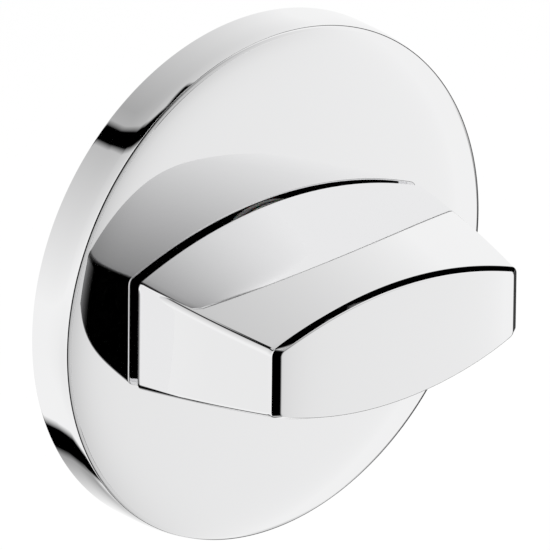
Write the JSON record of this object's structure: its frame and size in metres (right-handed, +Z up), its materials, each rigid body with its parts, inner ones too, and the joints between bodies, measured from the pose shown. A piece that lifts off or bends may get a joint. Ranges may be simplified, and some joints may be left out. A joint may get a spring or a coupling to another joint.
{
  "type": "bathroom thumb turn lock",
  "caption": "Bathroom thumb turn on a round clip-on rose: a barrel-shaped chrome knob turns a square spindle through a quarter turn.",
  "frame": {"origin": "centre of the rose on the door face, midway between the two fixing holes", "axes": "+Z up on the door, the knob faces -Y, the spindle runs into the door along +Y, and the fixing holes lie on X"},
  "size_m": [0.05, 0.04, 0.05],
  "materials": {
    "chrome_plate": "polished",
    "zinc_casting": "satin",
    "acetal": "satin",
    "bronze": "satin",
    "spring_steel": "satin",
    "plated_steel": "satin"
  },
  "bodies": {
    "rose": {"rose_cover": "chrome_plate", "base_plate": "zinc_casting", "front_bush": "acetal", "rear_bush": "acetal", "thrust_washer": "bronze", "snap_ring": "spring_steel", "stop_pin_open": "plated_steel", "stop_pin_locked": "plated_steel"},
    "turn": {"thumb_turn": "chrome_plate", "spindle": "plated_steel", "spindle_pin": "spring_steel", "stop_disc": "plated_steel", "circlip": "spring_steel", "wave_washer": "spring_steel"}
  },
  "joints": [
    {"name": "quarter_turn", "type": "hinge", "parent": "rose", "child": "turn", "pos_m": [0, 0, 0], "axis": [0, 1, 0], "range_deg": [0, 90]}
  ]
}
